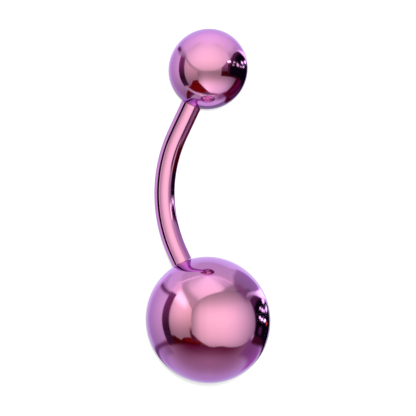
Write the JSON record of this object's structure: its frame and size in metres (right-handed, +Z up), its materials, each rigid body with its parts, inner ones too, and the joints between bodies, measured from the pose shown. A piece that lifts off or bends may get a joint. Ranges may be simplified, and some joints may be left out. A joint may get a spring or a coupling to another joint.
{
  "type": "navel ring",
  "caption": "Bowed body jewellery bar with a small ball screwed on one end and a larger ball on the other, in mirror-polished pink anodised titanium.",
  "frame": {"origin": "the middle of the ring's outline, seen from above, on the surface that it lies on", "axes": "+Z up from the surface that the ring lies on. +X along the line of the balls, towards the large lower ball. The bow of the bar hangs down from that line and leans towards -Y, where it touches the surface."},
  "size_m": [0.0224, 0.008, 0.0079],
  "materials": {
    "bar_titanium": "mirror-polished titanium, anodised pink, turning violet where it is seen at a shallow angle",
    "ball_titanium": "mirror-polished titanium, anodised pink, turning violet where it is seen at a shallow angle"
  },
  "bodies": {
    "bar": {"curved_bar": "bar_titanium"},
    "upper_ball": {"upper_ball": "ball_titanium"},
    "lower_ball": {"lower_ball": "ball_titanium"}
  },
  "joints": [
    {"name": "upper_ball_unscrews", "type": "slide", "parent": "bar", "child": "upper_ball", "axis": [-0.936, 0.175, 0.3055], "range_m": [0, 0.0022]},
    {"name": "lower_ball_unscrews", "type": "slide", "parent": "bar", "child": "lower_ball", "axis": [0.8698, 0.1708, 0.4629], "range_m": [0, 0.0022]}
  ]
}
